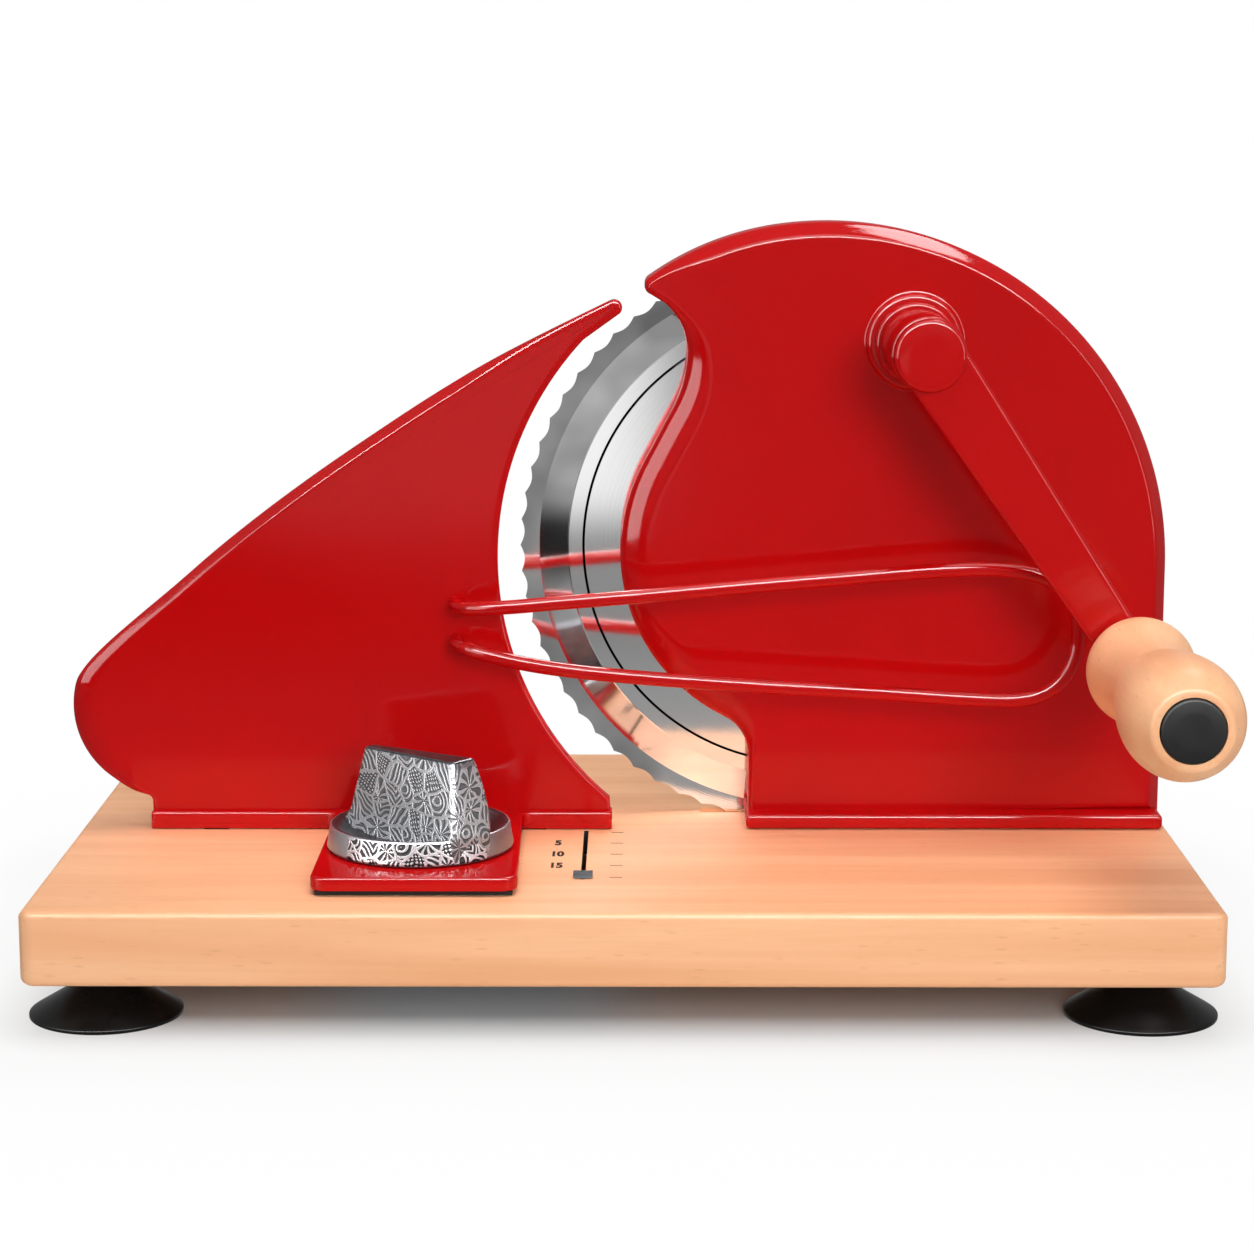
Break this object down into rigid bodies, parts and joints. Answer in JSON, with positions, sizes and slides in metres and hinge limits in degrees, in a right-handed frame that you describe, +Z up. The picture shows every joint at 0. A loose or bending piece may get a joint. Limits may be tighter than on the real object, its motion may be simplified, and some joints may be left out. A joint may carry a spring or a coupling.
{
  "type": "hand-cranked bread slicer",
  "caption": "Hand-cranked bread slicer on a beech board: round serrated blade geared to a crank with a turned grip, knob-set stop plate with scale, wire slice guard, suction feet.",
  "frame": {"origin": "on the table under the middle of the whole slicer", "axes": "+X along the board to the right as seen from the crank, +Y from the crank side to the side the loaf is fed from, +Z up"},
  "size_m": [0.3646, 0.2622, 0.2376],
  "materials": {
    "beech_board": "planed beech, satin oiled",
    "beech_grip": "turned beech, satin lacquer",
    "red_enamel": "glossy stoved enamel",
    "black_rubber": "moulded, semi-gloss",
    "blade_steel": "ground and polished",
    "plated_steel": "zinc plated",
    "cast_zinc": "die-cast, polished and engraved",
    "bearing_brass": "machined",
    "grey_nylon": "moulded",
    "black_plastic": "moulded, satin"
  },
  "bodies": {
    "base": {"base_board": "beech_board", "suction_foot_front_left": "black_rubber", "suction_foot_front_right": "black_rubber", "suction_foot_rear_left": "black_rubber", "suction_foot_rear_right": "black_rubber", "foot_stud_front_left": "plated_steel", "foot_stud_front_right": "plated_steel", "foot_stud_rear_left": "plated_steel", "foot_stud_rear_right": "plated_steel", "gear_housing": "red_enamel", "housing_screw_1": "plated_steel", "housing_screw_2": "plated_steel", "housing_screw_3": "plated_steel", "blade_surround_plate": "red_enamel", "surround_screw_1": "plated_steel", "surround_screw_2": "plated_steel", "surround_screw_3": "plated_steel", "blade_axle": "plated_steel", "blade_screw": "plated_steel", "crank_bush": "bearing_brass", "thickness_rack": "grey_nylon", "rack_screw_1": "plated_steel", "rack_screw_2": "plated_steel", "pointer_rail": "plated_steel", "mechanism_cover": "plated_steel", "cover_screw_1": "plated_steel", "cover_screw_2": "plated_steel", "cover_screw_3": "plated_steel", "cover_screw_4": "plated_steel"},
    "stop_carriage": {"thickness_plate": "red_enamel", "glide_pad": "black_plastic", "spindle_bush": "bearing_brass", "guide_key_1": "black_plastic", "guide_key_2": "black_plastic", "key_screw_1": "plated_steel", "key_screw_2": "plated_steel", "slice_guard_wire": "red_enamel"},
    "knob_unit": {"adjusting_knob": "cast_zinc", "knob_spindle": "plated_steel", "rack_pinion": "grey_nylon", "pinion_spacer": "grey_nylon", "pointer_pinion": "grey_nylon"},
    "pointer_unit": {"pointer_slide": "grey_nylon", "scale_pointer": "plated_steel"},
    "crank_unit": {"crank_shaft": "plated_steel", "crank_gear": "grey_nylon", "crank_collar": "red_enamel", "crank_arm": "red_enamel", "crank_cap": "red_enamel", "shaft_clip": "plated_steel", "grip_pin": "plated_steel", "grip_nut": "plated_steel"},
    "grip_unit": {"wooden_grip": "beech_grip", "grip_plug": "black_plastic"},
    "blade_unit": {"blade": "blade_steel", "blade_gear": "grey_nylon", "blade_bush": "bearing_brass", "blade_rivet_1": "plated_steel", "blade_rivet_2": "plated_steel", "blade_rivet_3": "plated_steel"}
  },
  "joints": [
    {"name": "plate_slide", "type": "slide", "parent": "base", "child": "stop_carriage", "axis": [0, 1, 0], "range_m": [0, 0.02]},
    {"name": "knob_turn", "type": "hinge", "parent": "stop_carriage", "child": "knob_unit", "pos_m": [-0.064, -0.03055, 0.0452], "axis": [0, 0, 1], "range_deg": [0, 179.1]},
    {"name": "pointer_travel", "type": "slide", "parent": "base", "child": "pointer_unit", "axis": [0, 1, 0], "range_m": [0, 0.0576]},
    {"name": "crank_turn", "type": "hinge", "parent": "base", "child": "crank_unit", "pos_m": [0.0939, -0.02895, 0.19928], "axis": [0, 1, 0], "continuous": true},
    {"name": "blade_spin", "type": "hinge", "parent": "base", "child": "blade_unit", "pos_m": [0.0605, 0.04305, 0.1299], "axis": [0, 1, 0], "continuous": true},
    {"name": "grip_spin", "type": "hinge", "parent": "crank_unit", "child": "grip_unit", "pos_m": [0.15949, -0.12925, 0.10298], "axis": [0, 1, 0], "continuous": true}
  ],
  "couplings": [
    {"joint": "knob_turn", "follows": "plate_slide", "rad_per_m": 156.25},
    {"joint": "pointer_travel", "follows": "plate_slide", "ratio": 2.875},
    {"joint": "blade_spin", "follows": "crank_turn", "ratio": -0.42593}
  ]
}
